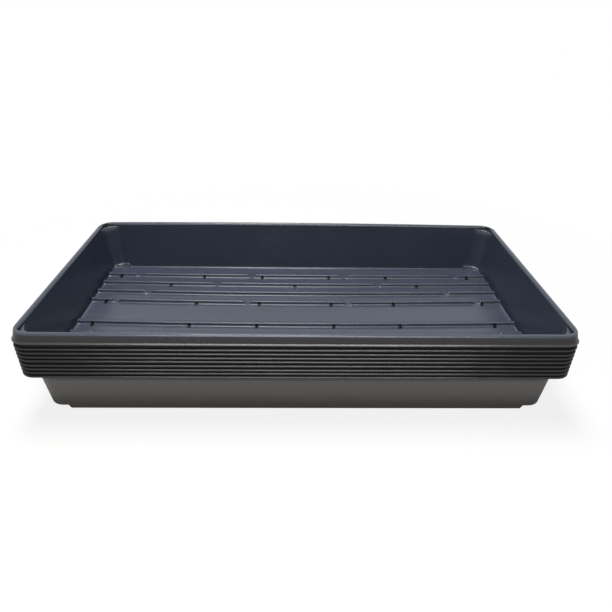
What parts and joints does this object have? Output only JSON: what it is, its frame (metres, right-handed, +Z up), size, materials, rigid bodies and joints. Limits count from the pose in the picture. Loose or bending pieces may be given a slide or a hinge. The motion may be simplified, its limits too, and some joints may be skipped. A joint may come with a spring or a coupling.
{
  "type": "stack of plant growing trays",
  "caption": "Nested stack of shallow rectangular plastic seed trays with a turned-down lipped rim, drafted walls, a ribbed floor and drain holes; each tray lifts out of the one below.",
  "frame": {"origin": "under the middle of the lowest tray's floor, on the surface that the stack stands on", "axes": "+X along the trays, +Y across them towards the back of the picture, +Z up, the way the trays lift out"},
  "size_m": [0.545, 0.277, 0.1024],
  "materials": {
    "tray_plastic": "satin, formed from dark grey sheet"
  },
  "bodies": {
    "bottom_tray": {"bottom_tray": "tray_plastic"},
    "second_tray": {"second_tray": "tray_plastic"},
    "third_tray": {"third_tray": "tray_plastic"},
    "fourth_tray": {"fourth_tray": "tray_plastic"},
    "fifth_tray": {"fifth_tray": "tray_plastic"},
    "sixth_tray": {"sixth_tray": "tray_plastic"},
    "seventh_tray": {"seventh_tray": "tray_plastic"},
    "eighth_tray": {"eighth_tray": "tray_plastic"},
    "top_tray": {"top_tray": "tray_plastic"}
  },
  "joints": [
    {"name": "lift_second_tray", "type": "slide", "parent": "bottom_tray", "child": "second_tray", "axis": [0, 0, 1], "range_m": [0, 0.075]},
    {"name": "lift_third_tray", "type": "slide", "parent": "second_tray", "child": "third_tray", "axis": [0, 0, 1], "range_m": [0, 0.075]},
    {"name": "lift_fourth_tray", "type": "slide", "parent": "third_tray", "child": "fourth_tray", "axis": [0, 0, 1], "range_m": [0, 0.075]},
    {"name": "lift_fifth_tray", "type": "slide", "parent": "fourth_tray", "child": "fifth_tray", "axis": [0, 0, 1], "range_m": [0, 0.075]},
    {"name": "lift_sixth_tray", "type": "slide", "parent": "fifth_tray", "child": "sixth_tray", "axis": [0, 0, 1], "range_m": [0, 0.075]},
    {"name": "lift_seventh_tray", "type": "slide", "parent": "sixth_tray", "child": "seventh_tray", "axis": [0, 0, 1], "range_m": [0, 0.075]},
    {"name": "lift_eighth_tray", "type": "slide", "parent": "seventh_tray", "child": "eighth_tray", "axis": [0, 0, 1], "range_m": [0, 0.075]},
    {"name": "lift_top_tray", "type": "slide", "parent": "eighth_tray", "child": "top_tray", "axis": [0, 0, 1], "range_m": [0, 0.075]}
  ]
}
